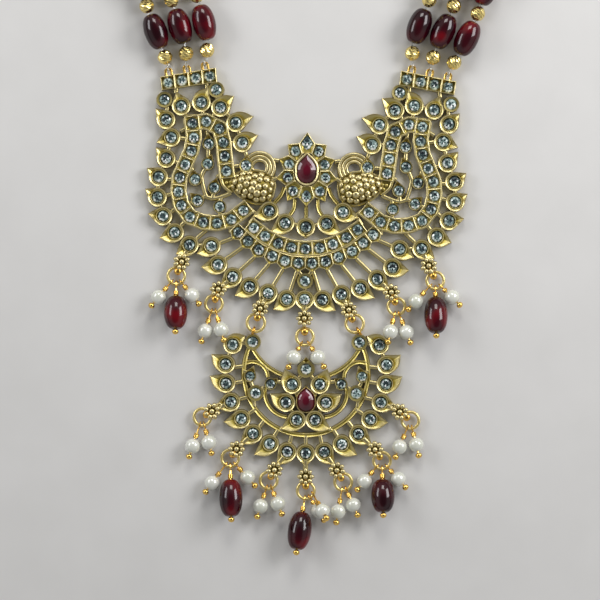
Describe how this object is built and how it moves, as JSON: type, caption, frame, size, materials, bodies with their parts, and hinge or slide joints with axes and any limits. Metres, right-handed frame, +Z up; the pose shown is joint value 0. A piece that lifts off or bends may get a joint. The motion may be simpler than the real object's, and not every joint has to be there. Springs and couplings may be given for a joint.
{
  "type": "stone-set bead necklace",
  "caption": "Cast openwork plaque with two peacocks, a half-moon pendant, pearl and red bead drops, on strands of red oval beads and gold balls.",
  "frame": {"origin": "middle of the whole loop's box, on the surface that the necklace lies on", "axes": "+X to the right across the plaque, +Y from the drops towards the clasp, +Z up out of the face"},
  "size_m": [0.12, 0.2622, 0.0087],
  "materials": {
    "gold": "satin",
    "wire_gold": "satin",
    "gold_ball": "polished",
    "pear_ruby": "polished",
    "red_bead": "polished",
    "pearl": "satin",
    "thread": "polished"
  },
  "bodies": {
    "root": {"plaque": "gold", "pendant": "gold", "plaque_ruby": "pear_ruby", "pendant_ruby": "pear_ruby", "link_ring_left": "gold", "link_ring_right": "gold", "drop_ring_1": "gold", "drop_ring_2": "gold", "drop_ring_3": "gold", "drop_ring_4": "gold", "drop_ring_5": "gold", "drop_ring_6": "gold", "drop_ring_7": "gold", "drop_ring_8": "gold", "drop_ring_9": "gold", "drop_ring_10": "gold", "drop_ring_11": "gold", "drop_ring_12": "gold", "drop_pearls_1": "pearl", "drop_pearls_2": "pearl", "drop_pearls_3": "pearl", "drop_pearls_4": "pearl", "drop_pearls_5": "pearl", "drop_pearls_6": "pearl", "drop_pearls_7": "pearl", "drop_pearls_8": "pearl", "drop_pearls_9": "pearl", "drop_pearls_10": "pearl", "drop_pearls_11": "pearl", "drop_pearls_12": "pearl", "drop_ruby_1": "red_bead", "drop_ruby_5": "red_bead", "drop_ruby_7": "red_bead", "drop_ruby_9": "red_bead", "drop_ruby_11": "red_bead", "plaque_pins": "wire_gold", "pendant_pins": "wire_gold", "rubies_left_inner": "red_bead", "rubies_left_middle": "red_bead", "rubies_left_outer": "red_bead", "rubies_right_inner": "red_bead", "rubies_right_middle": "red_bead", "rubies_right_outer": "red_bead", "golds_left_inner": "gold_ball", "golds_left_middle": "gold_ball", "golds_left_outer": "gold_ball", "golds_right_inner": "gold_ball", "golds_right_middle": "gold_ball", "golds_right_outer": "gold_ball", "thread_left_inner": "thread", "thread_left_middle": "thread", "thread_left_outer": "thread", "thread_right_inner": "thread", "thread_right_middle": "thread", "thread_right_outer": "thread", "end_bar_left": "gold", "end_bar_right": "gold", "clasp": "gold"}
  },
  "joints": []
}
